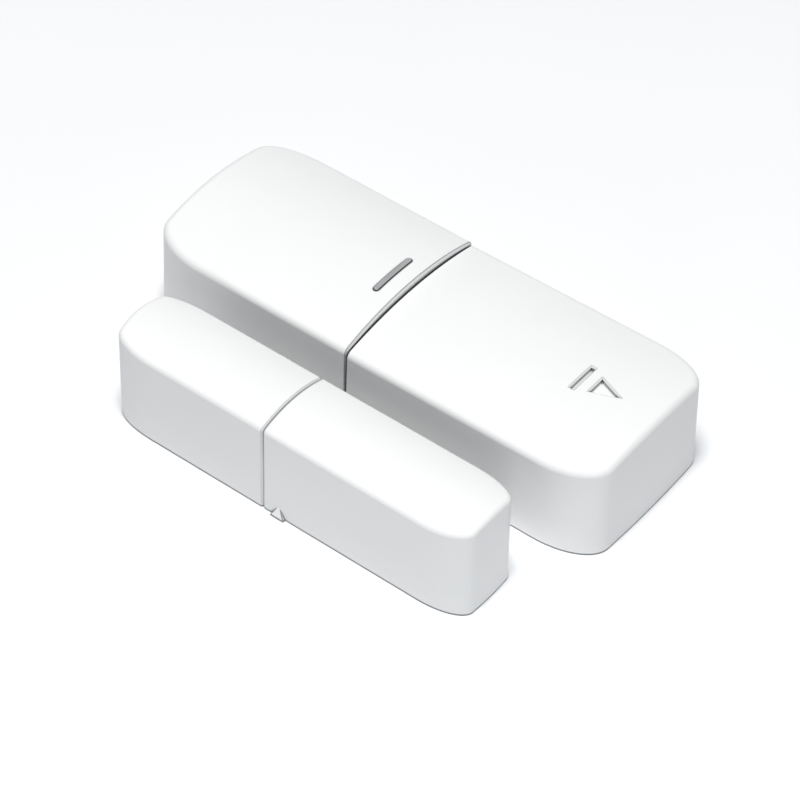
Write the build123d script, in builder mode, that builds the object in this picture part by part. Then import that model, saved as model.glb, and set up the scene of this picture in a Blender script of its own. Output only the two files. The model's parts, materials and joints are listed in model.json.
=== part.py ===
from build123d import *
import os
from collections import namedtuple
from math import atan, cos, degrees, radians, sin, tan

# Wireless door contact sensor and its magnet, in millimetres. The wall is the plane Z = 0 and +Z
# points away from it. The sensor unit is centred on the origin with its long side along X, and
# the magnet unit stands beside it towards -Y.

os.makedirs("parts", exist_ok=True)

# One end of a moulded housing: the radii of its elliptical corners and how far it bows, in degrees
End = namedtuple("End", "corner_x corner_y turn")
# A moulded housing: size at the rim, its two ends, leaning walls and a crowned top
Housing = namedtuple("Housing", "length width left right taper edge_height crown end_rise")

# ---- Driving dimensions: sensor unit ----------------------------------------------------------
CAP = Housing(75.3, 28.1, End(8.9, 4.4, 2.7), End(8.9, 4.7, 2.7), 0.3, 14.25, 2.2, 0.0)
COVER = CAP._replace(edge_height=13.9, crown=1.65, end_rise=0.55)
SEAM_X = -2.65          # end face of the cap
SEAM_GAP = 0.15         # between the cap and the battery cover
SHELL_WALL = 1.5
SHELL_TOP = 1.4
EDGE_RADIUS = 1.1       # round the top
CAP_SEAM_BEVEL = (0.48, 0.18)   # down and along, over the cap's open end
COVER_SEAM_RADIUS = 0.22
RIM_LIFT = 0.15         # the rims hang just clear of the wall
INNER_GAP = 0.3         # between a shell and what it covers

# ---- Driving dimensions: magnet unit ----------------------------------------------------------
MAGNET_CASE = Housing(59.1, 12.6, End(6.9, 2.3, 13.0), End(6.9, 2.8, 4.0), 0.15, 14.3, 1.18, 0.0)
MAGNET_AT = (0.95, -25.5)
MAGNET_WALL = 1.2
GROOVE_X = -1.8
MAGNET_EDGE_RADIUS = 0.75
GROOVE_LEFT_BEVEL = (0.38, 0.38)
GROOVE_RIGHT_RADIUS = 0.25
BAR = (30.0, 6.0, 7.0)
MARK_X, MARK_WIDTH, MARK_HEIGHT, MARK_PROUD = 0.75, 2.4, 2.1, 0.5

# ---- Driving dimensions: plates, tray, board --------------------------------------------------
PLATE_THICK = 1.8
PAD_THICK = 0.8
PAD_SIZE = (34.0, 14.0)
PLATE_HOLES = 50.0      # between the two wall screws
PLATE_HOLE_R = 1.7
MAGNET_PAD_SIZE = (26.0, 6.5)
MAGNET_HOLES = 44.0
MAGNET_HOLE_R = 1.6
SINK_EXTRA = 1.2        # a screw head's countersink is this much wider in radius
STUD_R, STUD_TOP = 1.2, 3.4
STUD_SPACING = (40.0, 17.4)
FIT_GAP = 0.1

TRAY_BOTTOM, TRAY_TOP = 2.0, 3.0
BULKHEAD = (-4.6, -3.6)
RAIL_IN, RAIL_OUT = 10.2, 11.2
RAIL_TOP = 6.4
RAIL_END = 30.0
GROOVE_LOW, GROOVE_HIGH, GROOVE_DEPTH = 4.0, 5.2, 0.6   # groove that guides the cover
RIB_GAP = 0.15          # beside the cover's ribs in their grooves

BOARD_Z, BOARD_THICK = 5.0, 1.0
BOARD_TOP = BOARD_Z + BOARD_THICK
BOARD_LEFT, BOARD_RIGHT, BOARD_HALF_WIDTH = -31.0, -4.9, 9.5
TONGUE_END, TONGUE_IN, TONGUE_OUT = 14.0, 6.8, 10.0
TONGUE_LEDGES = [(-3.0, -1.5), (11.5, 13.0)]
BOARD_POSTS, BOARD_POST_R, BOARD_PILOT_R = [(-28.8, 6.6), (-28.8, -6.6), (-8.4, 7.9)], 1.9, 0.85
CAP_BOSSES = [(-33.5, 0.0), (-14.0, 10.1), (-7.4, -9.6)]
BOSS_R = 2.1

BATTERY_R, BATTERY_LENGTH = 5.15, 28.5
BATTERY_X, BATTERY_Z = 4.9, 8.3         # flat end and axis height
CRADLE, CRADLE_HALF_WIDTH, CRADLE_TOP = (1.3, 33.3), 6.6, 6.6
CONTACT_WALLS, CONTACT_WALL_HALF, CONTACT_WALL_TOP = [(0.0, 0.95), (33.85, 34.85)], 5.6, 11.5
TAB_NOTCH = (0.8, 3.2, 3.9, 4.8)        # width and height of the way for the negative tab
CONTACT_THICK = 0.3

SLOT_X, SLOT_LENGTH, SLOT_WIDTH = -5.65, 7.9, 0.9
PIPE_PROUD = 0.2
PIPE_GAP = 0.1          # round the light pipe in its slot
LEARN_AT, TAMPER_AT = (0.8, 8.45), (9.5, 8.45)
SWITCH_HALF_WIDTH = 1.6
LEARN_TRAVEL = 0.25
TAMPER_REST_TOP = 10.8


def end_corner(end, half_x, half_y, inset):
    """Corner of one end: its radii, the angle where it starts, and where it meets end and side."""
    rx, ry = end.corner_x - inset, end.corner_y - inset
    turn = radians(end.turn)
    start = atan(ry / rx * tan(turn))
    end_y = half_y - ry + ry * sin(start)
    end_x = half_x - end_y * tan(turn / 2)
    side_x = end_x - rx * cos(start)
    return rx, ry, degrees(start), end_x, end_y, side_x


def outline(size, inset, height):
    """Plan of a housing at one height, inset from its walls: straight sides, elliptical corners
    and bowed ends, all tangent to each other."""
    lean = size.taper * height / size.edge_height + inset
    half_x, half_y = size.length / 2 - lean, size.width / 2 - lean
    rx, ry, first, end_x, end_y, side_x = end_corner(size.right, half_x, half_y, inset)
    left = end_corner(size.left, half_x, half_y, inset)
    left_rx, left_ry, left_first, left_x, left_y, left_side = left
    turn, left_turn = 90 - first, 90 - left_first
    with BuildSketch(Plane.XY.offset(height)) as plan:
        with BuildLine():
            Line((-left_side, half_y), (side_x, half_y))
            EllipticalCenterArc((side_x, half_y - ry), rx, ry, start_angle=90, arc_size=-turn)
            ThreePointArc((end_x, end_y), (half_x, 0), (end_x, -end_y))
            EllipticalCenterArc((side_x, ry - half_y), rx, ry, start_angle=-first, arc_size=-turn)
            Line((side_x, -half_y), (-left_side, -half_y))
            EllipticalCenterArc((-left_side, left_ry - half_y), left_rx, left_ry,
                                start_angle=270, arc_size=-left_turn)
            ThreePointArc((-left_x, -left_y), (-half_x, 0), (-left_x, left_y))
            EllipticalCenterArc((-left_side, half_y - left_ry), left_rx, left_ry,
                                start_angle=180 - left_first, arc_size=-left_turn)
        make_face()
    return plan.sketch


def crowned_block(size, inset=0.0, drop=0.0, floor=0.0):
    """Solid inside a housing's walls and under its crowned top, centred on the origin."""
    half_top = size.width / 2 - size.taper
    radius = (half_top**2 + size.crown**2) / (2 * size.crown)
    axis_z = size.edge_height + size.crown - radius
    ceiling = size.edge_height + size.crown + 2.0
    across = Plane(origin=(0, 0, axis_z), x_dir=(0, 1, 0), z_dir=(size.length / 2, 0, size.end_rise))
    with BuildPart() as block:
        loft([outline(size, inset, floor), outline(size, inset, ceiling)], ruled=True)
        with BuildSketch(across):
            Circle(radius - drop)
        extrude(amount=size.length, both=True, mode=Mode.INTERSECT)
    return block.part


def rounded_block(size, edge_radius):
    """Outside of a housing, rounded all the way round its top."""
    with BuildPart() as block:
        add(crowned_block(size))
        fillet(block.faces().sort_by(Axis.Z)[-1].edges(), edge_radius)
    return block.part


def seam_half(block, seam_x, keep, radius=None, bevel=None):
    """One side of a block cut at seam_x. The edge of the cut is rounded, or bevelled by a depth
    down the cut face and a width along the outside."""
    with BuildPart() as half:
        add(block)
        split(bisect_by=Plane.YZ.offset(seam_x), keep=keep)
        seam_face = half.faces().sort_by(lambda face: abs(face.center().X - seam_x))[0]
        rim = seam_face.edges().filter_by(lambda edge: edge.center().Z > 0.1)
        if bevel:
            chamfer(rim, *bevel, reference=seam_face)
        else:
            fillet(rim, radius)
    return half.part


def slab(x_low, x_high, y_low, y_high, z_low, z_high, mode=Mode.ADD):
    """Box between two corners, added to the part that is being built."""
    middle = ((x_low + x_high) / 2, (y_low + y_high) / 2, (z_low + z_high) / 2)
    with Locations(middle):
        Box(x_high - x_low, y_high - y_low, z_high - z_low, mode=mode)


def posts(places, radius, z_low, z_high, mode=Mode.ADD):
    """Upright round posts or holes at the given places."""
    with BuildSketch(Plane.XY.offset(z_low)) as sections:
        with Locations(*places):
            Circle(radius)
    extrude(sections.sketch, amount=z_high - z_low, mode=mode)


def cones(places, low_radius, high_radius, z_low, z_high, mode=Mode.ADD):
    """Upright cones or countersinks at the given places."""
    with Locations(*[(x, y, (z_low + z_high) / 2) for x, y in places]):
        Cone(low_radius, high_radius, z_high - z_low, mode=mode)


def label_and_save(builder, name):
    """Names a finished piece and writes it as its own STEP file."""
    builder.part.label = name
    export_step(builder.part, f"parts/{name}.step")


# ---- Blocks that several pieces are cut from --------------------------------------------------
cap_block = rounded_block(CAP, EDGE_RADIUS)
cap_hollow = crowned_block(CAP, SHELL_WALL, SHELL_TOP, -1)
cover_block = rounded_block(COVER, EDGE_RADIUS)
cover_hollow = crowned_block(COVER, SHELL_WALL, SHELL_TOP, -1)
bulkhead_block = crowned_block(CAP, SHELL_WALL + INNER_GAP, SHELL_TOP + INNER_GAP)
magnet_block = rounded_block(MAGNET_CASE, MAGNET_EDGE_RADIUS)
magnet_hollow = crowned_block(MAGNET_CASE, MAGNET_WALL, SHELL_TOP, -1)


# ---- Mounting plate and its foam pad ----------------------------------------------------------
PLATE_HOLE_PLACES = [(-PLATE_HOLES / 2, 0), (PLATE_HOLES / 2, 0)]
stud_x, stud_y = STUD_SPACING[0] / 2, STUD_SPACING[1] / 2
STUD_PLACES = [(-stud_x, -stud_y), (-stud_x, stud_y), (stud_x, -stud_y), (stud_x, stud_y)]

with BuildPart() as mounting_plate:
    extrude(outline(CAP, SHELL_WALL + INNER_GAP, 0), amount=PLATE_THICK)
    fillet(mounting_plate.faces().sort_by(Axis.Z)[-1].edges(), 0.3)
    posts(STUD_PLACES, STUD_R, PLATE_THICK, STUD_TOP)
    chamfer(mounting_plate.faces().group_by(Axis.Z)[-1].edges(), 0.3)
    posts(PLATE_HOLE_PLACES, PLATE_HOLE_R, 0, PLATE_THICK, Mode.SUBTRACT)
    cones(PLATE_HOLE_PLACES, PLATE_HOLE_R, PLATE_HOLE_R + SINK_EXTRA,
          PLATE_THICK - SINK_EXTRA, PLATE_THICK, Mode.SUBTRACT)
    with BuildSketch():
        RectangleRounded(*PAD_SIZE, 1.5)
    extrude(amount=PAD_THICK, mode=Mode.SUBTRACT)
label_and_save(mounting_plate, "mounting_plate")

with BuildPart() as mounting_pad:
    with BuildSketch():
        RectangleRounded(PAD_SIZE[0] - 0.2, PAD_SIZE[1] - 0.2, 1.4)
    extrude(amount=PAD_THICK)
label_and_save(mounting_pad, "mounting_pad")


# ---- Base tray: floor, bulkhead, rails, battery cradle, board posts ---------------------------
with BuildPart() as bulkhead:
    slab(*BULKHEAD, -20, 20, TRAY_BOTTOM, 18)
    add(bulkhead_block, mode=Mode.INTERSECT)

with BuildPart() as base_tray:
    extrude(outline(CAP, SHELL_WALL + INNER_GAP, TRAY_BOTTOM), amount=TRAY_TOP - TRAY_BOTTOM)
    # bulkhead that closes the cap's open end, notched for the board and the battery's contacts
    add(bulkhead.part)
    slab(*BULKHEAD, 5.9, 10.5, 4.7, 16, Mode.SUBTRACT)
    slab(*BULKHEAD, *TAB_NOTCH, Mode.SUBTRACT)
    slab(*BULKHEAD, -7.2, -6.5, TRAY_TOP, 5.2, Mode.SUBTRACT)
    # rails, each with a groove that the cover's ribs run in
    for side in (-1, 1):
        rail = sorted((side * RAIL_IN, side * RAIL_OUT))
        groove = sorted((side * (RAIL_OUT - GROOVE_DEPTH), side * RAIL_OUT))
        slab(BULKHEAD[1], RAIL_END, *rail, TRAY_TOP, RAIL_TOP)
        slab(BULKHEAD[1] + 1, RAIL_END, *groove, GROOVE_LOW, GROOVE_HIGH, Mode.SUBTRACT)
    # cradle under the battery and the walls behind its two contacts
    slab(*CRADLE, -CRADLE_HALF_WIDTH, CRADLE_HALF_WIDTH, TRAY_TOP, CRADLE_TOP)
    for wall in CONTACT_WALLS:
        slab(*wall, -CONTACT_WALL_HALF, CONTACT_WALL_HALF, TRAY_TOP, CONTACT_WALL_TOP)
    with BuildSketch(Plane.YZ.offset(CRADLE[0])):
        with Locations((0, BATTERY_Z)):
            Circle(BATTERY_R + 0.1)
    extrude(amount=CRADLE[1] - CRADLE[0], mode=Mode.SUBTRACT)
    slab(*CONTACT_WALLS[0], *TAB_NOTCH, Mode.SUBTRACT)
    # posts under the board, with pilot holes for its screws
    posts(BOARD_POSTS, BOARD_POST_R, TRAY_TOP, BOARD_Z)
    posts(BOARD_POSTS, BOARD_PILOT_R, TRAY_TOP + FIT_GAP, BOARD_Z, Mode.SUBTRACT)
    # ledges under the tongue of the board
    for ledge in TONGUE_LEDGES:
        slab(*ledge, TONGUE_IN + 0.4, TONGUE_OUT - 0.4, TRAY_TOP, BOARD_Z)
    # holes for the plate's studs and for the screws that hold the cap
    posts(STUD_PLACES, STUD_R + FIT_GAP, TRAY_BOTTOM, TRAY_TOP, Mode.SUBTRACT)
    posts(CAP_BOSSES, 1.1, TRAY_BOTTOM, TRAY_TOP, Mode.SUBTRACT)
    cones(CAP_BOSSES, 1.9, 1.1, TRAY_BOTTOM, TRAY_BOTTOM + 0.8, Mode.SUBTRACT)
label_and_save(base_tray, "base_tray")


# ---- Sensor cap and its light pipe ------------------------------------------------------------
def crown_ceiling(y):
    """Height in the middle of the cap's top wall, at a distance y from the centre line."""
    half_top = CAP.width / 2 - CAP.taper
    return CAP.edge_height + CAP.crown * (1 - (y / half_top) ** 2) - SHELL_TOP / 2


cap_shell = seam_half(cap_block, SEAM_X, Keep.BOTTOM, bevel=CAP_SEAM_BEVEL)
with BuildPart() as sensor_cap:
    add(cap_shell)
    add(cap_hollow, mode=Mode.SUBTRACT)
    for x, y in CAP_BOSSES:
        posts([(x, y)], BOSS_R, TRAY_TOP + 0.1, crown_ceiling(abs(y)) - 0.4)
    posts(CAP_BOSSES, 0.9, TRAY_TOP, 9.0, Mode.SUBTRACT)
    with BuildSketch(Plane.XY.offset(12)):
        with Locations((SLOT_X, 0)):
            SlotOverall(SLOT_LENGTH, SLOT_WIDTH, rotation=90)
    extrude(amount=8, mode=Mode.SUBTRACT)
    slab(-50, 50, -50, 50, -1, RIM_LIFT, Mode.SUBTRACT)
label_and_save(sensor_cap, "sensor_cap")

pipe_top_block = crowned_block(CAP, 0, -PIPE_PROUD)
pipe_flange_block = crowned_block(CAP, SHELL_WALL, SHELL_TOP + 0.02)
with BuildPart() as pipe_flange:
    slab(SLOT_X - 0.95, SLOT_X + 0.95, -4.9, 4.9, 13.3, 16)
    add(pipe_flange_block, mode=Mode.INTERSECT)
with BuildPart() as light_pipe:
    with BuildSketch(Plane.XY.offset(14)):
        with Locations((SLOT_X, 0)):
            SlotOverall(SLOT_LENGTH - 2 * PIPE_GAP, SLOT_WIDTH - 2 * PIPE_GAP, rotation=90)
    extrude(amount=5)
    add(pipe_top_block, mode=Mode.INTERSECT)
    fillet(light_pipe.faces().sort_by(Axis.Z)[-1].edges(), 0.08)
    add(pipe_flange.part)
    cones([(SLOT_X, 0)], 0.75, 0.94, 7.4, 13.6)
label_and_save(light_pipe, "light_pipe")


# ---- Battery cover ----------------------------------------------------------------------------
SYMBOL_Y = 0.55
BAR_X, BAR_SIZE = 25.1, (1.0, 5.2)
ARROW = [(27.0, -1.75), (27.0, 1.75), (31.4, 0.0)]
SYMBOL_DEPTH = 0.6
SYMBOL_RIM = 0.2        # bevel round the sunk symbol, inside its outline
RIB_RUNS = [(-1.5, 7.0), (14.0, 22.0)]


def is_symbol_wall(face):
    """True for the upright walls of the sunk bar and arrow."""
    middle = face.center()
    inside = BAR_X - 1 < middle.X < ARROW[-1][0] and abs(middle.Y - SYMBOL_Y) < 3
    return inside and middle.Z > COVER.edge_height and abs(face.normal_at().Z) < 0.1


cover_shell = seam_half(cover_block, SEAM_X + SEAM_GAP, Keep.TOP, radius=COVER_SEAM_RADIUS)
symbol_floor = crowned_block(COVER, 0, SYMBOL_DEPTH)
with BuildPart() as slide_symbol:
    with BuildSketch(Plane.XY.offset(12)):
        with Locations((BAR_X, SYMBOL_Y)):
            Rectangle(*BAR_SIZE)
        with BuildLine():
            Polyline([(x, y + SYMBOL_Y) for x, y in ARROW], close=True)
        make_face()
        offset(amount=-SYMBOL_RIM, kind=Kind.INTERSECTION, mode=Mode.REPLACE)
    extrude(amount=8)
    add(symbol_floor, mode=Mode.SUBTRACT)
with BuildPart() as cover_ribs:
    # ribs that run in the tray's rails
    tip_y, root_y = RAIL_OUT - GROOVE_DEPTH + RIB_GAP, COVER.width / 2 - SHELL_WALL / 2
    for side in (-1, 1):
        rib = sorted((side * tip_y, side * root_y))
        for run in RIB_RUNS:
            slab(*run, *rib, GROOVE_LOW + RIB_GAP, GROOVE_HIGH - RIB_GAP)
    # finger that holds the tamper plunger down
    finger_x, finger_y = TAMPER_AT
    slab(finger_x - 1, finger_x + 1, finger_y - 0.8, finger_y + 0.8, TAMPER_REST_TOP + 0.15, 14)
with BuildPart() as battery_cover:
    add(cover_shell)
    add(cover_hollow, mode=Mode.SUBTRACT)
    add(cover_ribs.part)
    add(slide_symbol.part, mode=Mode.SUBTRACT)
    symbol_walls = battery_cover.faces().filter_by(is_symbol_wall)
    rim = [wall.edges().sort_by(Axis.Z)[-1] for wall in symbol_walls]
    chamfer(rim, SYMBOL_RIM)
    slab(-50, 50, -50, 50, -1, RIM_LIFT, Mode.SUBTRACT)
label_and_save(battery_cover, "battery_cover")


# ---- Screws -----------------------------------------------------------------------------------
with BuildPart() as case_screws:
    cones(CAP_BOSSES, 1.8, 0.85, TRAY_BOTTOM + 0.02, TRAY_BOTTOM + 0.78)
    posts(CAP_BOSSES, 0.85, TRAY_BOTTOM + 0.5, 8.5)
    for x, y in CAP_BOSSES:
        slab(x - 1.0, x + 1.0, y - 0.2, y + 0.2, TRAY_BOTTOM, TRAY_BOTTOM + 0.35, Mode.SUBTRACT)
        slab(x - 0.2, x + 0.2, y - 1.0, y + 1.0, TRAY_BOTTOM, TRAY_BOTTOM + 0.35, Mode.SUBTRACT)
label_and_save(case_screws, "case_screws")

with BuildPart() as board_screws:
    posts(BOARD_POSTS[:2], 1.6, BOARD_TOP, BOARD_TOP + 1.0)
    fillet(board_screws.faces().group_by(Axis.Z)[-1].edges(), 0.35)
    posts(BOARD_POSTS[:2], 0.8, TRAY_TOP + 0.3, BOARD_TOP)
    for x, y in BOARD_POSTS[:2]:
        slab(x - 0.9, x + 0.9, y - 0.18, y + 0.18, BOARD_TOP + 0.5, BOARD_TOP + 1.1, Mode.SUBTRACT)
        slab(x - 0.18, x + 0.18, y - 0.9, y + 0.9, BOARD_TOP + 0.5, BOARD_TOP + 1.1, Mode.SUBTRACT)
label_and_save(board_screws, "board_screws")


# ---- Circuit board and what is soldered on it -------------------------------------------------
with BuildPart() as circuit_board:
    slab(BOARD_LEFT, BOARD_RIGHT, -BOARD_HALF_WIDTH, BOARD_HALF_WIDTH, BOARD_Z, BOARD_TOP)
    slab(BOARD_RIGHT - 1, TONGUE_END, TONGUE_IN, TONGUE_OUT, BOARD_Z, BOARD_TOP)
    posts(CAP_BOSSES[1:], BOSS_R + 0.35, BOARD_Z, BOARD_TOP, Mode.SUBTRACT)
    posts(BOARD_POSTS[:2], 0.95, BOARD_Z, BOARD_TOP, Mode.SUBTRACT)
label_and_save(circuit_board, "circuit_board")

REED_Y, REED_R, REED_Z = -7.9, 1.1, BOARD_TOP + 1.5
REED_GLASS = (-24.0, -13.0)
REED_LEADS = (-26.8, -10.4)
LEAD_R = 0.25
with BuildPart() as reed_glass:
    with Locations(Location(((REED_GLASS[0] + REED_GLASS[1]) / 2, REED_Y, REED_Z), (0, 90, 0))):
        Cylinder(REED_R, REED_GLASS[1] - REED_GLASS[0])
    fillet(reed_glass.edges().filter_by(GeomType.CIRCLE), 0.8)
    with Locations(Location(((REED_GLASS[0] + REED_GLASS[1]) / 2, REED_Y, REED_Z), (0, 90, 0))):
        Cylinder(LEAD_R, REED_GLASS[1] - REED_GLASS[0] + 1, mode=Mode.SUBTRACT)
label_and_save(reed_glass, "reed_glass")


def bent_lead(end_x, bend):
    """One lead of the reed switch, from inside the glass out to its solder joint on the board."""
    middle = (REED_GLASS[0] + REED_GLASS[1]) / 2
    outward = 1 if end_x > middle else -1
    tip = middle + outward * 0.15
    route = [(tip, REED_Y, REED_Z), (end_x, REED_Y, REED_Z), (end_x, REED_Y, BOARD_TOP)]
    with BuildPart() as lead:
        with BuildLine():
            FilletPolyline(*route, radius=bend)
        with BuildSketch(Plane(origin=(tip, REED_Y, REED_Z), z_dir=(outward, 0, 0))):
            Circle(LEAD_R - 0.01)
        sweep()
    return lead.part


left_lead, right_lead = [bent_lead(x, 0.6) for x in REED_LEADS]
with BuildPart() as reed_leads:
    add(left_lead)
    add(right_lead)
label_and_save(reed_leads, "reed_leads")

with BuildPart() as status_led:
    slab(SLOT_X - 0.8, SLOT_X + 0.65, -0.7, 0.7, BOARD_TOP, BOARD_TOP + 0.6)
    posts([(SLOT_X, 0)], 0.55, BOARD_TOP + 0.6, BOARD_TOP + 1.1)
    fillet(status_led.faces().sort_by(Axis.Z)[-1].edges(), 0.3)
label_and_save(status_led, "status_led")

CHIP_AT, CHIP_SIZE, CHIP_LIFT = (-18.5, -2.4), (6.0, 4.0, 1.5), 0.15
CHIP_TOP = BOARD_TOP + CHIP_LIFT + CHIP_SIZE[2]
LEG_COUNT, LEG_PITCH, LEG_WIDTH, LEG_THICK = 8, 0.7, 0.3, 0.2
LEG_KNEE, LEG_FOOT, LEG_TOP = 0.5, 0.95, BOARD_TOP + 0.8
with BuildPart() as controller_chip:
    with Locations((*CHIP_AT, CHIP_TOP - CHIP_SIZE[2] / 2)):
        Box(*CHIP_SIZE)
    chamfer(controller_chip.faces().sort_by(Axis.Z)[-1].edges(), 0.2)
    # dimple that marks the first leg
    posts([(CHIP_AT[0] - 2.3, CHIP_AT[1] - 1.3)], 0.3, CHIP_TOP - 0.1, CHIP_TOP, Mode.SUBTRACT)
label_and_save(controller_chip, "controller_chip")

with BuildPart() as chip_legs:
    for side in (-1, 1):
        edge = CHIP_AT[1] + side * CHIP_SIZE[1] / 2
        knee = edge + side * LEG_KNEE
        shoulder = sorted((edge, knee))
        shin = sorted((knee - side * LEG_THICK, knee))
        foot = sorted((knee - side * LEG_THICK, edge + side * LEG_FOOT))
        for number in range(LEG_COUNT):
            x = CHIP_AT[0] + (number - (LEG_COUNT - 1) / 2) * LEG_PITCH
            across = (x - LEG_WIDTH / 2, x + LEG_WIDTH / 2)
            slab(*across, *shoulder, LEG_TOP - LEG_THICK, LEG_TOP)
            slab(*across, *shin, BOARD_TOP, LEG_TOP)
            slab(*across, *foot, BOARD_TOP, BOARD_TOP + LEG_THICK)
label_and_save(chip_legs, "chip_legs")

CRYSTAL_AT, CRYSTAL_FLANGE = (-12.0, 3.4), 0.3
with BuildPart() as crystal:
    with BuildSketch(Plane.XY.offset(BOARD_TOP + CRYSTAL_FLANGE)):
        with Locations(CRYSTAL_AT):
            SlotOverall(9.6, 3.6)
    extrude(amount=2.9)
    fillet(crystal.faces().sort_by(Axis.Z)[-1].edges(), 0.4)
    with BuildSketch(Plane.XY.offset(BOARD_TOP)):
        with Locations(CRYSTAL_AT):
            SlotOverall(10.4, 4.2)
    extrude(amount=CRYSTAL_FLANGE)
label_and_save(crystal, "crystal")

with BuildPart() as radio_module:
    slab(-29.8, -23.3, -3.4, 3.0, BOARD_TOP, BOARD_TOP + 0.6)
    slab(-29.4, -23.7, -3.0, 2.6, BOARD_TOP + 0.6, BOARD_TOP + 2.2)
    fillet(radio_module.faces().sort_by(Axis.Z)[-1].edges(), 0.25)
label_and_save(radio_module, "radio_module")

CAPACITOR_AT = (-10.6, -3.2)
with BuildPart() as capacitor:
    posts([CAPACITOR_AT], 2.2, BOARD_TOP, BOARD_TOP + 5.0)
    fillet(capacitor.faces().sort_by(Axis.Z)[-1].edges(), 0.35)
    with Locations((*CAPACITOR_AT, BOARD_TOP + 1.0)):
        Torus(2.3, 0.25, mode=Mode.SUBTRACT)
label_and_save(capacitor, "capacitor")

CHIP_PARTS = [(-21.6, 3.2, 0), (-19.4, 3.2, 0), (-21.6, 1.4, 90), (-19.2, 1.2, 0), (-14.0, -0.2, 90),
              (-6.4, -4.6, 90), (-5.9, 4.4, 90), (-21.6, 4.9, 0), (4.6, 8.4, 90)]
with BuildPart() as chip_parts:
    for x, y, turn in CHIP_PARTS:
        with Locations(Location((x, y, BOARD_TOP + 0.3), (0, 0, turn))):
            Box(1.6, 0.8, 0.6)
label_and_save(chip_parts, "chip_parts")

ANTENNA_X, ANTENNA_Y = -26.0, 7.4
COIL_R, WIRE_R, COIL_PITCH, COIL_TURNS = 1.5, 0.25, 1.3, 6
COIL_Z = BOARD_TOP + COIL_R + WIRE_R + 0.1
with BuildPart() as antenna:
    with BuildLine() as coil:
        Helix(COIL_PITCH, COIL_PITCH * COIL_TURNS, COIL_R,
              center=(ANTENNA_X, ANTENNA_Y, COIL_Z), direction=(1, 0, 0))
    with BuildSketch(Plane(origin=coil.line @ 0, z_dir=coil.line % 0)):
        Circle(WIRE_R)
    sweep(is_frenet=True)
    for tip in (coil.line @ 0, coil.line @ 1):
        posts([(tip.X, tip.Y)], WIRE_R, BOARD_TOP, tip.Z)
label_and_save(antenna, "antenna")


# ---- Pairing button and tamper switch on the board's tongue -----------------------------------
with BuildPart() as learn_switch:
    slab(LEARN_AT[0] - 2.2, LEARN_AT[0] + 2.2, LEARN_AT[1] - SWITCH_HALF_WIDTH,
         LEARN_AT[1] + SWITCH_HALF_WIDTH, BOARD_TOP, BOARD_TOP + 2.2)
    chamfer(learn_switch.faces().sort_by(Axis.Z)[-1].edges(), 0.2)
    posts([LEARN_AT], 1.0, BOARD_TOP + 0.8, BOARD_TOP + 2.2, Mode.SUBTRACT)
label_and_save(learn_switch, "learn_switch")

with BuildPart() as learn_button:
    posts([LEARN_AT], 0.92, BOARD_TOP + 0.8 + LEARN_TRAVEL + 0.1, BOARD_TOP + 3.3)
    fillet(learn_button.faces().sort_by(Axis.Z)[-1].edges(), 0.2)
label_and_save(learn_button, "learn_button")

with BuildPart() as tamper_switch:
    slab(TAMPER_AT[0] - 3.0, TAMPER_AT[0] + 3.0, TAMPER_AT[1] - SWITCH_HALF_WIDTH,
         TAMPER_AT[1] + SWITCH_HALF_WIDTH, BOARD_TOP, BOARD_TOP + 4.0)
    chamfer(tamper_switch.faces().sort_by(Axis.Z)[-1].edges(), 0.25)
    posts([TAMPER_AT], 1.08, BOARD_TOP + 1.6, BOARD_TOP + 4.0, Mode.SUBTRACT)
label_and_save(tamper_switch, "tamper_switch")

with BuildPart() as tamper_plunger:
    posts([TAMPER_AT], 1.0, BOARD_TOP + 1.8, TAMPER_REST_TOP)
    fillet(tamper_plunger.faces().sort_by(Axis.Z)[-1].edges(), 0.3)
label_and_save(tamper_plunger, "tamper_plunger")


# ---- Battery, its spring and its contacts -----------------------------------------------------
SLEEVE_THICK = 0.15
NUB_R, NUB_LENGTH = 1.9, 1.0
CAN_END = BATTERY_X + BATTERY_LENGTH - NUB_LENGTH
with BuildPart() as battery_cell:
    with BuildSketch(Plane.YZ.offset(BATTERY_X)):
        with Locations((0, BATTERY_Z)):
            Circle(BATTERY_R - SLEEVE_THICK - 0.02)
    extrude(amount=CAN_END - BATTERY_X)
    fillet(battery_cell.edges().filter_by(GeomType.CIRCLE), 0.4)
    with BuildSketch(Plane.YZ.offset(CAN_END)):
        with Locations((0, BATTERY_Z)):
            Circle(NUB_R)
    extrude(amount=NUB_LENGTH)
    fillet(battery_cell.faces().sort_by(Axis.X)[-1].edges(), 0.3)
label_and_save(battery_cell, "battery_cell")

with BuildPart() as battery_sleeve:
    with BuildSketch(Plane.YZ.offset(BATTERY_X + 0.5)):
        with Locations((0, BATTERY_Z)):
            Circle(BATTERY_R)
            Circle(BATTERY_R - SLEEVE_THICK, mode=Mode.SUBTRACT)
    extrude(amount=CAN_END - BATTERY_X - 1.0)
label_and_save(battery_sleeve, "battery_sleeve")

SPRING_WIRE_R, SPRING_TURNS = 0.25, 3
SPRING_X = (CRADLE[0] + 0.28, BATTERY_X - 0.28)
SPRING_PITCH = (SPRING_X[1] - SPRING_X[0]) / SPRING_TURNS
with BuildPart() as battery_spring:
    with BuildLine() as turns:
        Helix(SPRING_PITCH, SPRING_X[1] - SPRING_X[0], 3.4, center=(SPRING_X[0], 0, BATTERY_Z),
              direction=(1, 0, 0), cone_angle=-24)
    with BuildSketch(Plane(origin=turns.line @ 0, z_dir=turns.line % 0)):
        Circle(SPRING_WIRE_R)
    sweep(is_frenet=True)
label_and_save(battery_spring, "battery_spring")

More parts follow.
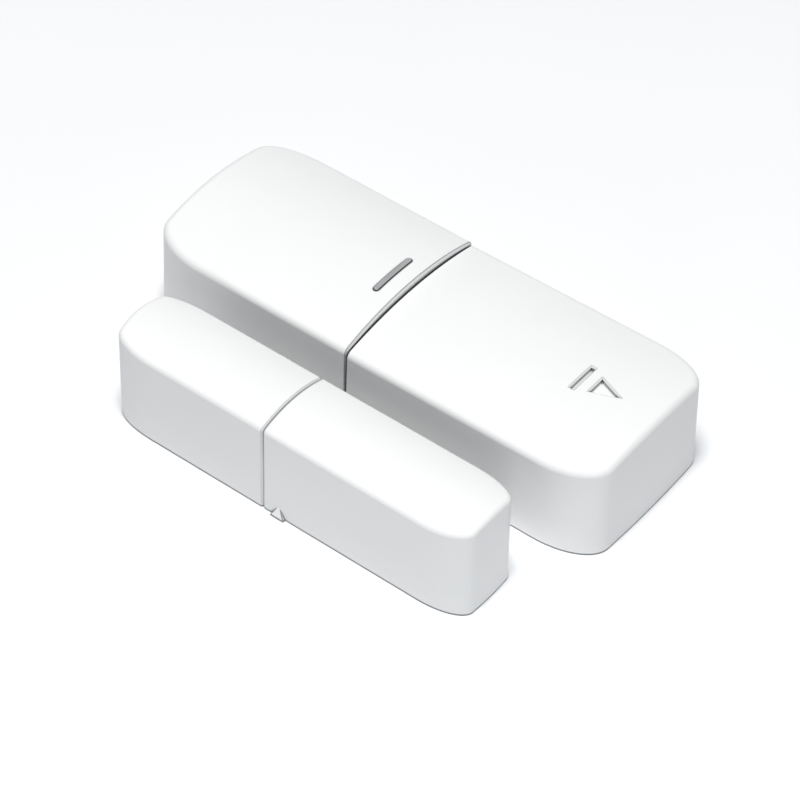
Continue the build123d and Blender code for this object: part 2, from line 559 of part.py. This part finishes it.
NEGATIVE_X = (0.98, 0.98 + CONTACT_THICK)
POSITIVE_X = (33.5, 33.5 + CONTACT_THICK)
TAB_X = BOARD_RIGHT - 0.5
with BuildPart() as negative_contact:
    slab(*NEGATIVE_X, -4.6, 4.6, TRAY_TOP + 0.1, 12.2)
    slab(TAB_X, NEGATIVE_X[1], 1.0, 3.0, 4.2, 4.5)
    slab(TAB_X, TAB_X + CONTACT_THICK, 1.0, 3.0, 4.2, BOARD_Z)
label_and_save(negative_contact, "negative_contact")

with BuildPart() as positive_contact:
    slab(*POSITIVE_X, -4.6, 4.6, TRAY_TOP + 0.1, 12.2)
    slab(*POSITIVE_X, -7.0, -4.0, TRAY_TOP + 0.1, 4.9)
    slab(TAB_X, POSITIVE_X[1], -7.0, -6.7, TRAY_TOP + 0.1, 4.9)
    slab(TAB_X, TAB_X + 1.0, -7.0, -6.7, TRAY_TOP + 0.1, BOARD_Z)
label_and_save(positive_contact, "positive_contact")


# ---- Magnet unit ------------------------------------------------------------------------------
MAGNET_HOLE_PLACES = [(-MAGNET_HOLES / 2, 0), (MAGNET_HOLES / 2, 0)]
BAR_GAP = 0.1
magnet_place = Pos(*MAGNET_AT, 0)


def place_magnet_piece(builder, name):
    """Moves a piece built about the magnet unit's own centre to its place, and saves it."""
    placed = magnet_place * builder.part
    placed.label = name
    export_step(placed, f"parts/{name}.step")


with BuildPart() as magnet_plate:
    extrude(outline(MAGNET_CASE, MAGNET_WALL + INNER_GAP, 0), amount=PLATE_THICK)
    # cradle around the bar magnet
    reach_x, reach_y = BAR[0] / 2 + BAR_GAP, BAR[1] / 2 + BAR_GAP
    slab(-reach_x - 1.2, reach_x + 1.2, -reach_y - 0.8, reach_y + 0.8, PLATE_THICK, PLATE_THICK + 4.0)
    slab(-reach_x, reach_x, -reach_y, reach_y, PLATE_THICK, PLATE_THICK + 5.0, Mode.SUBTRACT)
    posts(MAGNET_HOLE_PLACES, MAGNET_HOLE_R, 0, PLATE_THICK, Mode.SUBTRACT)
    cones(MAGNET_HOLE_PLACES, MAGNET_HOLE_R, MAGNET_HOLE_R + SINK_EXTRA,
          PLATE_THICK - SINK_EXTRA, PLATE_THICK, Mode.SUBTRACT)
    with BuildSketch():
        RectangleRounded(*MAGNET_PAD_SIZE, 1.5)
    extrude(amount=PAD_THICK, mode=Mode.SUBTRACT)
place_magnet_piece(magnet_plate, "magnet_plate")

with BuildPart() as magnet_pad:
    with BuildSketch():
        RectangleRounded(MAGNET_PAD_SIZE[0] - 0.2, MAGNET_PAD_SIZE[1] - 0.2, 1.4)
    extrude(amount=PAD_THICK)
place_magnet_piece(magnet_pad, "magnet_pad")

with BuildPart() as bar_magnet:
    slab(-BAR[0] / 2, BAR[0] / 2, -BAR[1] / 2, BAR[1] / 2, PLATE_THICK, PLATE_THICK + BAR[2])
    chamfer(bar_magnet.edges().filter_by(Axis.X), 0.3)
place_magnet_piece(bar_magnet, "bar_magnet")

groove_at = GROOVE_X - MAGNET_AT[0]
left_half = seam_half(magnet_block, groove_at, Keep.BOTTOM, bevel=GROOVE_LEFT_BEVEL)
right_half = seam_half(magnet_block, groove_at, Keep.TOP, radius=GROOVE_RIGHT_RADIUS)
half_width = MAGNET_CASE.width / 2
mark_x = MARK_X - MAGNET_AT[0]
with BuildPart() as magnet_marks:
    # ramps whose feet stand proud of both long walls, trimmed to triangles that point outwards
    with BuildSketch(Plane.YZ.offset(mark_x)):
        with BuildLine():
            Polyline((-half_width - MARK_PROUD, 0), (half_width + MARK_PROUD, 0),
                     (half_width - MAGNET_CASE.taper, MARK_HEIGHT),
                     (MAGNET_CASE.taper - half_width, MARK_HEIGHT), close=True)
        make_face()
    extrude(amount=MARK_WIDTH / 2, both=True)
    with BuildSketch(Plane.XZ):
        with BuildLine():
            Polyline((mark_x - MARK_WIDTH / 2, 0), (mark_x + MARK_WIDTH / 2, 0),
                     (mark_x, MARK_HEIGHT), close=True)
        make_face()
    extrude(amount=half_width + MARK_PROUD, both=True, mode=Mode.INTERSECT)
with BuildPart() as magnet_cap:
    add(left_half)
    add(right_half)
    add(magnet_marks.part)
    add(magnet_hollow, mode=Mode.SUBTRACT)
    slab(-50, 50, -50, 50, -1, RIM_LIFT, Mode.SUBTRACT)
place_magnet_piece(magnet_cap, "magnet_cap")
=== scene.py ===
import json
import math

import bpy
from mathutils import Matrix, Vector


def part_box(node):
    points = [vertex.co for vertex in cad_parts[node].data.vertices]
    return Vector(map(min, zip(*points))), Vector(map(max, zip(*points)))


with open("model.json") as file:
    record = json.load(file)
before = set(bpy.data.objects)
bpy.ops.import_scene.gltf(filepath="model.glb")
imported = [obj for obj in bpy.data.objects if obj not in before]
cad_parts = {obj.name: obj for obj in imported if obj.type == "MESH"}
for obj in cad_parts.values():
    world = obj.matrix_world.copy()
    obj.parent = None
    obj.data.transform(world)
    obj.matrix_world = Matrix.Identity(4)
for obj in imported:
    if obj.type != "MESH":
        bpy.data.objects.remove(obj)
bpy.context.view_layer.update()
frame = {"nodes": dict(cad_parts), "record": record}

MM = 0.001

# ---- Camera, in degrees and metres -------------------------------------------------------------
CAMERA_AZIMUTH = 37.0
CAMERA_ELEVATION = 45.4
CAMERA_ROLL = 1.45
CAMERA_LENS = 144.0
CAMERA_DISTANCE = 420.6 * MM
CAMERA_AIM = Vector((4.6, -11.3, 8.0)) * MM

# ---- Studio ------------------------------------------------------------------------------------
KEY = {"azimuth": 24, "elevation": 81.5, "distance": 0.9, "size": 0.30, "power": 9.7}
FILL = {"azimuth": 44, "elevation": 14, "distance": 0.17, "size": 0.05, "power": 0.032}
KEY_COLOUR = (1.0, 0.995, 0.985)
FILL_COLOUR = (0.95, 0.98, 1.0)
WORLD_COLOUR = (0.75, 0.87, 1.0)
WORLD_STRENGTH = 0.09
FLOOR_PALE, FLOOR_DARK = (0.82, 0.83, 0.845), (0.81, 0.82, 0.835)
FLOOR_REACH = 3.0


class Shader:
    """A node material under construction, with its coordinates in millimetres on the part."""

    def __init__(self, name):
        self.material = bpy.data.materials.new(name)
        self.material.use_nodes = True
        self.tree = self.material.node_tree
        self.tree.nodes.clear()
        output = self.tree.nodes.new("ShaderNodeOutputMaterial")
        self.surface = self.tree.nodes.new("ShaderNodeBsdfPrincipled")
        self.link(self.surface.outputs["BSDF"], output.inputs["Surface"])
        place = self.tree.nodes.new("ShaderNodeTexCoord")
        scale = self.tree.nodes.new("ShaderNodeVectorMath")
        scale.operation = "SCALE"
        scale.inputs["Scale"].default_value = 1 / MM
        self.link(place.outputs["Object"], scale.inputs[0])
        self.mm = scale.outputs["Vector"]

    def link(self, source, target):
        """Join an output to an input."""
        self.tree.links.new(source, target)

    def set(self, **values):
        """Constant values, set on the shader's own sockets."""
        for name, value in values.items():
            self.surface.inputs[name.replace("_", " ")].default_value = value

    def feed(self, socket, value):
        """Join an output to one of the shader's own sockets."""
        self.link(value, self.surface.inputs[socket])

    def along(self, axis):
        """One of the three coordinates, in millimetres."""
        split = self.tree.nodes.new("ShaderNodeSeparateXYZ")
        self.link(self.mm, split.inputs[0])
        return split.outputs[axis]

    def stretched(self, factors):
        """The coordinates, multiplied along each axis."""
        node = self.tree.nodes.new("ShaderNodeVectorMath")
        node.operation = "MULTIPLY"
        node.inputs[1].default_value = factors
        self.link(self.mm, node.inputs[0])
        return node.outputs["Vector"]

    def noise(self, scale, detail=2.0, roughness=0.5, where=None):
        """Smooth random tone, scale in features per millimetre."""
        node = self.tree.nodes.new("ShaderNodeTexNoise")
        node.inputs["Scale"].default_value = scale
        node.inputs["Detail"].default_value = detail
        node.inputs["Roughness"].default_value = roughness
        self.link(where or self.mm, node.inputs["Vector"])
        return node.outputs["Fac"]

    def cells(self, scale, feature="F1"):
        """Distance in a pattern of cells, scale in cells per millimetre."""
        node = self.tree.nodes.new("ShaderNodeTexVoronoi")
        node.feature = feature
        node.inputs["Scale"].default_value = scale
        self.link(self.mm, node.inputs["Vector"])
        return node.outputs["Distance"]

    def waves(self, scale, axis):
        """Even sine bands across one axis."""
        node = self.tree.nodes.new("ShaderNodeTexWave")
        node.bands_direction = axis
        node.inputs["Scale"].default_value = scale
        self.link(self.mm, node.inputs["Vector"])
        return node.outputs["Fac"]

    def creases(self, reach):
        """1 on open surfaces, less inside grooves and at the foot of steps, reach in millimetres."""
        node = self.tree.nodes.new("ShaderNodeAmbientOcclusion")
        node.samples = 6
        node.inputs["Distance"].default_value = reach * MM
        return node.outputs["AO"]

    def arrises(self, reach):
        """1 on broad surfaces and less along sharp outer edges, reach in millimetres."""
        node = self.tree.nodes.new("ShaderNodeAmbientOcclusion")
        node.samples = 8
        node.inside = True
        node.inputs["Distance"].default_value = reach * MM
        return node.outputs["AO"]

    def spread(self, value, low, high, from_low=0.3, from_high=0.7):
        """The value's range from_low to from_high, stretched to low to high."""
        node = self.tree.nodes.new("ShaderNodeMapRange")
        node.inputs["From Min"].default_value = from_low
        node.inputs["From Max"].default_value = from_high
        node.inputs["To Min"].default_value = low
        node.inputs["To Max"].default_value = high
        self.link(value, node.inputs["Value"])
        return node.outputs["Result"]

    def between(self, value, colour_a, colour_b):
        """Colour that runs from a to b as the value goes from 0 to 1. Either may be a socket."""
        node = self.tree.nodes.new("ShaderNodeMix")
        node.data_type = "RGBA"
        for socket, colour in (("A", colour_a), ("B", colour_b)):
            target = next(i for i in node.inputs if i.name == socket and i.type == "RGBA")
            if isinstance(colour, tuple):
                target.default_value = (*colour, 1)
            else:
                self.link(colour, target)
        self.link(value, node.inputs["Factor"])
        return next(o for o in node.outputs if o.type == "RGBA")

    def bump(self, height, distance, under=None):
        """Normal for a relief of this height in millimetres, on top of another relief if given."""
        node = self.tree.nodes.new("ShaderNodeBump")
        node.inputs["Distance"].default_value = distance * MM
        self.link(height, node.inputs["Height"])
        if under is not None:
            self.link(under, node.inputs["Normal"])
        return node.outputs["Normal"]


# ---- Finishes ----------------------------------------------------------------------------------
# Painted shade: grey for the housings' gaps and grooves, and a grey for a painted dark outline along their
# sharp edges.
CREASE_SHADE_GREY, EDGE_SHADE_GREY = (0.16, 0.165, 0.175), (0.22, 0.225, 0.235)
LAMP_BASE = 0.6         # millimetres of white carrier under the status lamp's lens
STRIPE_WIDTH = 0.75     # on the capacitor's sleeve
SILVER_BAND = 5.5       # at the positive end of the battery's sleeve


def moulded(name, pale, dark, roughness, grain, depth):
    """Moulded plastic: slow colour drift, uneven gloss, faint sink waves and a spark-eroded grain."""
    shader = Shader(name)
    drift = shader.spread(shader.noise(0.07, 3.0), 0, 1)
    shader.feed("Base Color", shader.between(drift, dark, pale))
    shader.feed("Roughness", shader.spread(shader.noise(0.4, 4.0), roughness - 0.05, roughness + 0.05))
    waves = shader.bump(shader.noise(0.12, 2.0), 0.02)
    shader.feed("Normal", shader.bump(shader.noise(grain, 3.0, 0.6), depth, waves))
    return shader.material


def shell(name):
    """White satin housing, with painted shade greying its gaps, grooves and the foot of its steps, and a
    painted dark outline along its sharp outer edges.
    """
    shader = Shader(name)
    drift = shader.spread(shader.noise(0.05, 3.0), 0, 1)
    unshaded_white = shader.between(drift, (0.785, 0.785, 0.785), (0.80, 0.80, 0.80))
    # Painted shade: ambient occlusion darkens the white in gaps, grooves and at the foot of steps.
    crease_shade_mix = shader.spread(shader.creases(0.45), 0, 1, 0.5, 0.86)
    # Painted shade: inside occlusion draws a dark grey outline along sharp outer edges.
    broad = shader.spread(shader.arrises(0.2), 0, 1, 0.72, 0.97)
    skin = shader.between(broad, EDGE_SHADE_GREY, unshaded_white)
    shader.feed("Base Color", shader.between(crease_shade_mix, CREASE_SHADE_GREY, skin))
    shader.feed("Roughness", shader.spread(shader.noise(0.4, 4.0), 0.33, 0.43))
    shader.set(Specular_IOR_Level=0.45)
    waves = shader.bump(shader.noise(0.1, 2.0), 0.012)
    shader.feed("Normal", shader.bump(shader.noise(7.0, 3.0, 0.6), 0.004, waves))
    return shader.material


def lens(name):
    """Grey tinted light pipe, with faint flow lines along its length, a glossier skin and painted shade, near
    black, where it meets the slot around it.
    """
    shader = Shader(name)
    flow = shader.noise(1.0, 3.0, 0.5, shader.stretched((2.0, 0.25, 0.6)))
    # Painted shade: ambient occlusion turns the pipe near black in the gap around it.
    crease_shade_mix = shader.spread(shader.creases(0.3), 0, 1, 0.45, 0.8)
    tint = shader.between(shader.spread(flow, 0, 1), (0.31, 0.315, 0.32), (0.38, 0.385, 0.39))
    shader.feed("Base Color", shader.between(crease_shade_mix, (0.05, 0.05, 0.055), tint))
    shader.feed("Roughness", shader.spread(flow, 0.22, 0.34))
    shader.set(Coat_Weight=0.3, Coat_Roughness=0.15)
    shader.feed("Normal", shader.bump(flow, 0.01))
    return shader.material


def foam(name):
    """Closed-cell foam: small round cells, each a little lighter or darker."""
    shader = Shader(name)
    cells = shader.cells(3.2)
    tone = shader.spread(shader.noise(2.2, 3.0), 0, 1)
    shader.feed("Base Color", shader.between(tone, (0.30, 0.31, 0.32), (0.42, 0.43, 0.44)))
    shader.feed("Roughness", shader.spread(cells, 0.85, 0.97, 0.0, 0.6))
    shader.set(Specular_IOR_Level=0.2)
    shader.feed("Normal", shader.bump(cells, 0.12))
    return shader.material


def metal(name, pale, dark, roughness, stretch, depth=0.006):
    """Drawn, rolled or turned metal: fine strokes along one direction and small dull patches."""
    shader = Shader(name)
    strokes = shader.noise(1.0, 4.0, 0.6, shader.stretched(stretch))
    patches = shader.spread(shader.noise(0.6, 3.0), 0, 1)
    shader.feed("Base Color", shader.between(patches, dark, pale))
    shader.feed("Roughness", shader.spread(strokes, roughness - 0.08, roughness + 0.1))
    shader.set(Metallic=1.0)
    shader.feed("Normal", shader.bump(strokes, depth))
    return shader.material


def laminate(name):
    """Green solder mask over raised copper tracks, with the glass weave just showing."""
    shader = Shader(name)
    tracks = shader.spread(shader.cells(0.55, "DISTANCE_TO_EDGE"), 1, 0, 0.05, 0.09)
    mask = shader.between(tracks, (0.012, 0.085, 0.035), (0.03, 0.17, 0.06))
    drift = shader.spread(shader.noise(0.25, 3.0), 0, 1)
    shader.feed("Base Color", shader.between(drift, mask, (0.016, 0.11, 0.045)))
    shader.feed("Roughness", shader.spread(shader.noise(1.5, 3.0), 0.26, 0.42))
    weave = shader.bump(shader.waves(2.0, "X"), 0.004, shader.bump(shader.waves(2.0, "Y"), 0.004))
    shader.feed("Normal", shader.bump(tracks, 0.03, weave))
    return shader.material


def glass(name):
    """Thin drawn glass with a green tinge and slight waves."""
    shader = Shader(name)
    tinge = shader.spread(shader.noise(0.8, 2.0), 0, 1)
    shader.feed("Base Color", shader.between(tinge, (0.68, 0.86, 0.76), (0.80, 0.93, 0.86)))
    shader.feed("Roughness", shader.spread(shader.noise(2.0, 2.0), 0.02, 0.08))
    shader.set(Transmission_Weight=0.85, IOR=1.5)
    shader.feed("Normal", shader.bump(shader.noise(0.9, 2.0), 0.02))
    return shader.material


def status_lamp(name):
    """White carrier with a warm, faintly cloudy lens on top."""
    shader = Shader(name)
    lens_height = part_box("status_led")[0][2] / MM + LAMP_BASE
    on_lens = shader.spread(shader.along("Z"), 0, 1, lens_height - 0.02, lens_height + 0.02)
    cloud = shader.spread(shader.noise(3.0, 3.0), 0, 1)
    amber = shader.between(cloud, (0.72, 0.60, 0.28), (0.85, 0.75, 0.42))
    shader.feed("Base Color", shader.between(on_lens, (0.80, 0.80, 0.78), amber))
    shader.feed("Roughness", shader.spread(on_lens, 0.5, 0.12, 0, 1))
    shader.set(Coat_Weight=0.4, Coat_Roughness=0.1)
    shader.feed("Normal", shader.bump(shader.noise(6.0, 2.0), 0.004))
    return shader.material


def capacitor_sleeve(name):
    """Dark shrink sleeve with the pale stripe down the negative side, and a bare ribbed top."""
    shader = Shader(name)
    low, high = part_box("capacitor")
    stripe_x, can_top = low[0] / MM + STRIPE_WIDTH, high[2] / MM - 0.05
    stripe = shader.spread(shader.along("X"), 1, 0, stripe_x - 0.05, stripe_x + 0.05)
    sleeve = shader.between(stripe, (0.012, 0.016, 0.035), (0.50, 0.52, 0.55))
    top = shader.spread(shader.along("Z"), 0, 1, can_top - 0.02, can_top + 0.02)
    shader.feed("Base Color", shader.between(top, sleeve, (0.62, 0.62, 0.63)))
    shader.feed("Roughness", shader.spread(shader.noise(1.2, 3.0), 0.2, 0.36))
    shader.feed("Metallic", shader.spread(top, 0, 1, 0, 1))
    shader.feed("Normal", shader.bump(shader.noise(0.8, 2.0), 0.02))
    return shader.material


def battery_sleeve(name):
    """Blue shrink sleeve with a silver band at the positive end and thin rings beside it."""
    shader = Shader(name)
    band_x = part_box("battery_sleeve")[1][0] / MM - SILVER_BAND
    x = shader.along("X")
    silver = shader.spread(x, 0, 1, band_x - 0.04, band_x + 0.04)
    ring = shader.spread(shader.waves(0.45, "X"), 0, 1, 0.985, 0.995)
    tone = shader.spread(shader.noise(0.3, 3.0), 0, 1)
    blue = shader.between(tone, (0.012, 0.040, 0.19), (0.020, 0.055, 0.24))
    grey = shader.between(ring, (0.55, 0.56, 0.58), (0.30, 0.31, 0.33))
    shader.feed("Base Color", shader.between(silver, blue, grey))
    shader.feed("Roughness", shader.spread(shader.noise(0.7, 3.0), 0.2, 0.34))
    shader.set(Coat_Weight=0.5, Coat_Roughness=0.12)
    wrinkle = shader.noise(1.0, 3.0, 0.5, shader.stretched((0.25, 1.4, 1.4)))
    shader.feed("Normal", shader.bump(wrinkle, 0.03))
    return shader.material


def ferrite(name):
    """Pressed ferrite: dark, dry and grainy, in slightly uneven tones."""
    shader = Shader(name)
    grains = shader.cells(4.5)
    tone = shader.spread(shader.noise(1.1, 4.0), 0, 1)
    shader.feed("Base Color", shader.between(tone, (0.018, 0.018, 0.019), (0.045, 0.045, 0.047)))
    shader.feed("Roughness", shader.spread(shader.noise(0.8, 3.0), 0.55, 0.75))
    shader.set(Specular_IOR_Level=0.6)
    shader.feed("Normal", shader.bump(grains, 0.03))
    return shader.material


def epoxy(name):
    """Black moulding compound, a little coarser than the housings' plastic."""
    return moulded(name, (0.028, 0.028, 0.030), (0.018, 0.018, 0.020), 0.5, 9.0, 0.012)


FINISHES = {
    "shell_plastic": shell,
    "tray_plastic": lambda slot: moulded(slot, (0.74, 0.74, 0.73), (0.70, 0.70, 0.69), 0.5, 5.0, 0.012),
    "smoke_lens": lens,
    "foam": foam,
    "screw_steel": lambda slot: metal(slot, (0.62, 0.63, 0.66), (0.46, 0.47, 0.50), 0.32, (3, 3, 0.6)),
    "board_laminate": laminate,
    "reed_glass": glass,
    "plated_lead": lambda slot: metal(slot, (0.70, 0.70, 0.68), (0.55, 0.55, 0.54), 0.28, (0.8, 4, 4)),
    "led_body": status_lamp,
    "chip_epoxy": epoxy,
    "can_metal": lambda slot: metal(slot, (0.66, 0.65, 0.62), (0.55, 0.54, 0.52), 0.26, (0.5, 6, 6)),
    "capacitor_sleeve": capacitor_sleeve,
    "chip_ceramic": lambda slot: moulded(slot, (0.30, 0.22, 0.14), (0.16, 0.12, 0.08), 0.45, 7.0, 0.01),
    "copper_wire": lambda slot: metal(slot, (0.80, 0.38, 0.18), (0.62, 0.27, 0.12), 0.24, (2, 2, 2)),
    "switch_body": lambda slot: moulded(slot, (0.035, 0.035, 0.038), (0.022, 0.022, 0.024), 0.45, 6.0, 0.01),
    "button_plastic": lambda slot: moulded(slot, (0.66, 0.65, 0.61), (0.60, 0.59, 0.55), 0.36, 8.0, 0.006),
    "plunger_plastic": lambda slot: moulded(slot, (0.55, 0.05, 0.025), (0.44, 0.035, 0.02), 0.36, 8.0, 0.006),
    "battery_wrap": battery_sleeve,
    "contact_nickel": lambda slot: metal(slot, (0.67, 0.66, 0.63), (0.57, 0.56, 0.53), 0.24, (0.6, 5, 5)),
    "magnet_ferrite": ferrite,
}

slots = {entry["node"]: entry["material_slot"] for entry in frame["record"]["subparts"]}
finished = {slot: FINISHES[slot](slot) for slot in sorted(set(slots.values()))}
for node, slot in slots.items():
    for place in frame["nodes"][node].material_slots:
        place.material = finished[slot]


# ---- Floor, world and lights -------------------------------------------------------------------
def paper_floor():
    """Large sheet of pale paper under the object."""
    mesh = bpy.data.meshes.new("floor")
    corners = [(-1, -1), (1, -1), (1, 1), (-1, 1)]
    mesh.from_pydata([(x * FLOOR_REACH, y * FLOOR_REACH, 0) for x, y in corners], [], [(0, 1, 2, 3)])
    shader = Shader("floor_paper")
    tone = shader.spread(shader.noise(0.02, 3.0), 0, 1)
    shader.feed("Base Color", shader.between(tone, FLOOR_DARK, FLOOR_PALE))
    shader.set(Roughness=0.9, Specular_IOR_Level=0.1)
    mesh.materials.append(shader.material)
    sheet = bpy.data.objects.new("floor", mesh)
    bpy.context.collection.objects.link(sheet)


def softbox(name, place, colour):
    """Square area light aimed at the object from a direction, azimuth 0 being in front of it."""
    azimuth, elevation = math.radians(place["azimuth"]), math.radians(place["elevation"])
    level = math.cos(elevation)
    away = Vector((math.sin(azimuth) * level, -math.cos(azimuth) * level, math.sin(elevation)))
    data = bpy.data.lights.new(name, "AREA")
    data.shape = "SQUARE"
    data.size = place["size"]
    data.energy = place["power"]
    data.color = colour
    light = bpy.data.objects.new(name, data)
    light.location = CAMERA_AIM + away * place["distance"]
    light.rotation_euler = away.to_track_quat("Z", "Y").to_euler()
    bpy.context.collection.objects.link(light)


def photo_camera():
    """Camera at the viewing angle, aimed a little in front of the sensor unit."""
    azimuth, elevation = math.radians(CAMERA_AZIMUTH), math.radians(CAMERA_ELEVATION)
    level = math.cos(elevation)
    back = Vector((math.sin(azimuth) * level, -math.cos(azimuth) * level, math.sin(elevation)))
    right = Vector((math.cos(azimuth), math.sin(azimuth), 0))
    turn = Matrix((right, back.cross(right), back)).transposed().to_4x4()
    roll = Matrix.Rotation(math.radians(CAMERA_ROLL), 4, "Z")
    data = bpy.data.cameras.new("camera")
    data.lens = CAMERA_LENS
    data.sensor_width = 36.0
    data.clip_start = 0.01
    camera = bpy.data.objects.new("camera", data)
    camera.matrix_world = Matrix.Translation(CAMERA_AIM + back * CAMERA_DISTANCE) @ turn @ roll
    bpy.context.collection.objects.link(camera)
    return camera


paper_floor()
softbox("key", KEY, KEY_COLOUR)
softbox("fill", FILL, FILL_COLOUR)
world = bpy.data.worlds.new("studio")
world.use_nodes = True
background = world.node_tree.nodes["Background"]
background.inputs["Color"].default_value = (*WORLD_COLOUR, 1)
background.inputs["Strength"].default_value = WORLD_STRENGTH
bpy.context.scene.world = world
bpy.context.scene.view_settings.view_transform = "Standard"
bpy.context.scene.camera = photo_camera()
